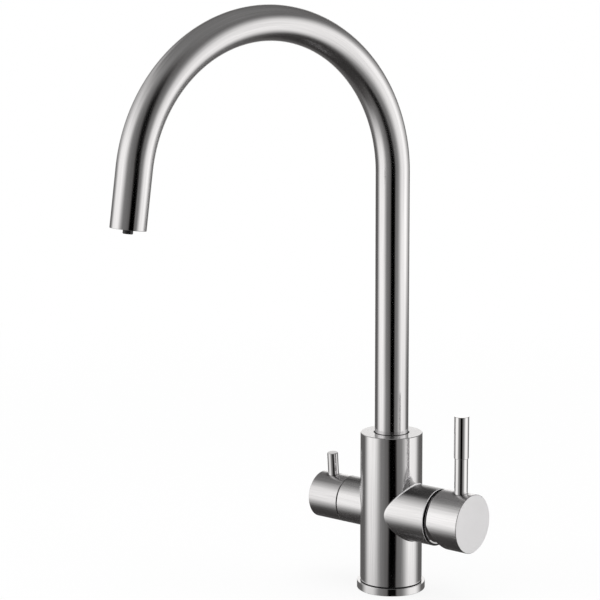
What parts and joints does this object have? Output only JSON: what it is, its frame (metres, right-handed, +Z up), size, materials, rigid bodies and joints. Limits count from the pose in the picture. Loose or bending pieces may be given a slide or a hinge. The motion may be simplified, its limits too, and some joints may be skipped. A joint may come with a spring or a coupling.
{
  "type": "three-way kitchen tap",
  "caption": "Brushed steel drinking water filter tap with a tall swivel spout, a mixer lever on one side and a filtered water handle on the other.",
  "frame": {"origin": "centre of the tap's underside, on the deck", "axes": "+Z up from the deck; +X out along the mixer arm, -X out along the filter arm; -Y is the front; the spout is stored 105 degrees clockwise of the mixer arm, seen from above"},
  "size_m": [0.1435, 0.2527, 0.433],
  "materials": {
    "brushed_steel": "brushed stainless steel",
    "polished_steel": "polished stainless steel",
    "brass": "machined brass",
    "rubber": "black rubber seal",
    "fastener_steel": "plain stainless steel",
    "white_plastic": "white acetal and polyethylene",
    "grey_plastic": "moulded grey plastic",
    "black_plastic": "black moulded plastic",
    "ceramic": "lapped ceramic"
  },
  "bodies": {
    "tap": {"base_ring": "polished_steel", "base_gasket": "rubber", "tap_body": "brushed_steel", "retaining_screw": "fastener_steel", "cartridge_base": "grey_plastic", "cartridge_port_seals": "rubber", "cartridge_shell": "grey_plastic", "cartridge_nut": "brass", "cartridge_dome": "polished_steel", "mixer_fixed_disc": "ceramic", "filter_valve_body": "brass", "filter_valve_seal": "rubber", "filter_valve_washer": "rubber", "filter_fixed_disc": "ceramic"},
    "spout": {"spout_tube": "brushed_steel", "spout_connector": "brass", "glide_ring_lower": "white_plastic", "glide_ring_upper": "white_plastic", "spout_seal_lower": "rubber", "spout_seal_upper": "rubber", "nipple_seal": "rubber", "filtered_water_hose": "white_plastic", "filtered_water_nozzle": "black_plastic", "outlet_collar": "brass", "aerator_washer": "rubber", "aerator_housing": "grey_plastic", "aerator_mesh": "fastener_steel"},
    "mixer_rotor": {"mixer_rotor": "white_plastic", "mixer_rotor_seal": "rubber", "mixer_pivot_pin": "fastener_steel"},
    "mixer_lever": {"mixer_stem": "fastener_steel", "lever_cap": "brushed_steel", "lever_rod": "polished_steel", "lever_grip": "polished_steel", "lever_grub_screw": "fastener_steel"},
    "mixing_disc": {"mixer_moving_disc": "ceramic", "mixer_disc_carrier": "white_plastic"},
    "filter_handle": {"filter_spindle": "brass", "filter_moving_disc": "ceramic", "filter_spindle_seal": "rubber", "filter_spindle_clip": "fastener_steel", "filter_knob": "brushed_steel", "filter_pin": "polished_steel", "filter_grub_screw": "fastener_steel"}
  },
  "joints": [
    {"name": "spout_swivel", "type": "hinge", "parent": "tap", "child": "spout", "pos_m": [0, 0, 0.0942], "axis": [0, 0, 1], "continuous": true},
    {"name": "lever_temperature", "type": "hinge", "parent": "tap", "child": "mixer_rotor", "pos_m": [0.03426, 0, 0.061], "axis": [1, 0, 0], "range_deg": [-45, 45]},
    {"name": "lever_flow", "type": "hinge", "parent": "mixer_rotor", "child": "mixer_lever", "pos_m": [0.03426, 0, 0.061], "axis": [0, 1, 0], "range_deg": [0, 25]},
    {"name": "mixing_disc_slide", "type": "slide", "parent": "mixer_rotor", "child": "mixing_disc", "axis": [0, 0, 1], "range_m": [0, 0.00337]},
    {"name": "filter_turn", "type": "hinge", "parent": "tap", "child": "filter_handle", "pos_m": [-0.0537, 0, 0.061], "axis": [1, 0, 0], "range_deg": [-4.2, 85.8]}
  ],
  "couplings": [
    {"joint": "mixing_disc_slide", "follows": "lever_flow", "m_per_rad": 0.0075}
  ]
}
